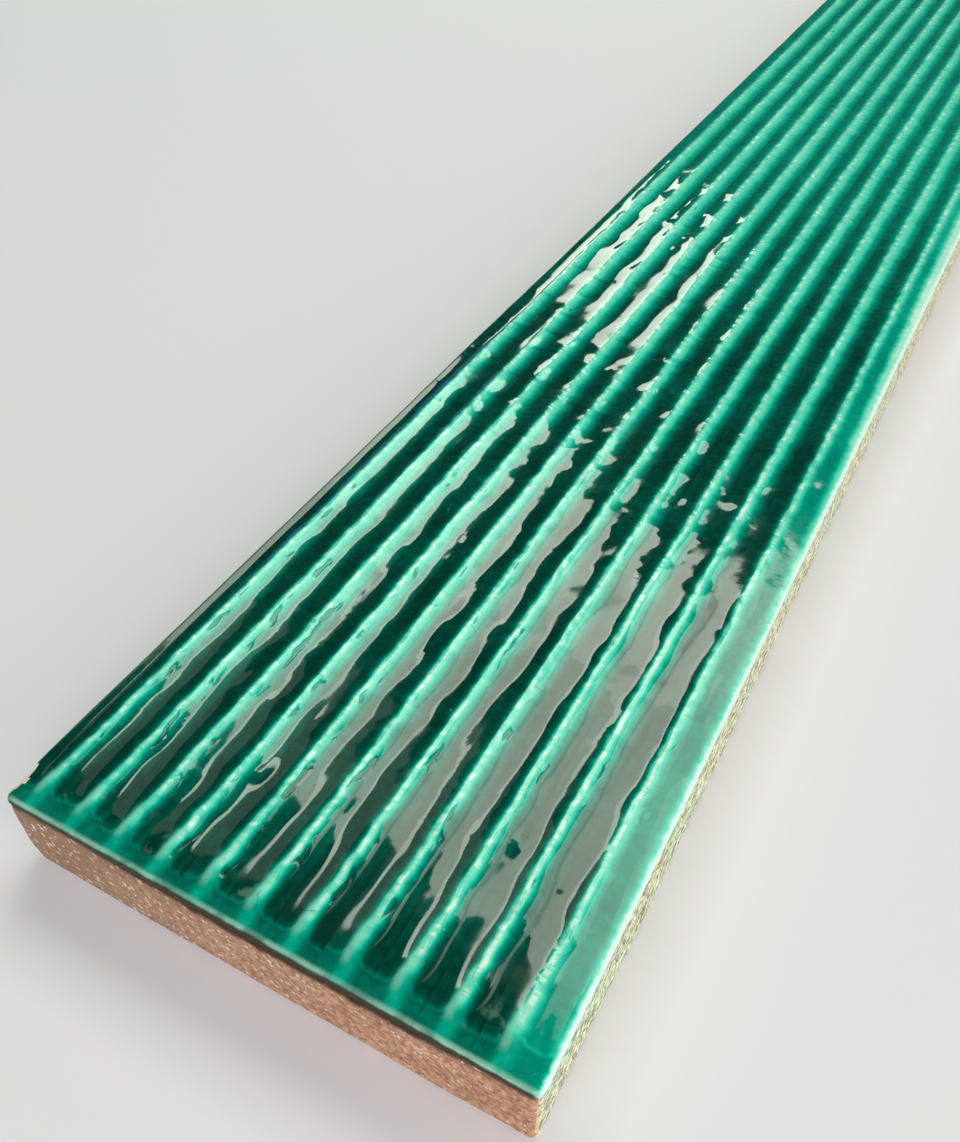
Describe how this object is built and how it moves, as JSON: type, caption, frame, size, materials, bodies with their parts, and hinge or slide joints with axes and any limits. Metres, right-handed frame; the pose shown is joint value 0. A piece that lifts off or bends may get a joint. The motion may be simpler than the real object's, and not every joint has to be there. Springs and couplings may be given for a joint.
{
  "type": "ceramic tile",
  "caption": "Long narrow ribbed ceramic tile with rounded ribs and grooves running lengthwise, a glossy green glazed face and bare red clay ends.",
  "frame": {"origin": "middle of the back face, which lies on the floor", "axes": "+X across the tile, +Y along its length and its ribs, +Z out of the glazed face"},
  "size_m": [0.065, 0.4, 0.012],
  "materials": {
    "glazed_clay": "glossy translucent green glaze on the ribbed face, bare rough red clay on the ends and the back"
  },
  "bodies": {
    "root": {"ribbed_tile": "glazed_clay"}
  },
  "joints": []
}
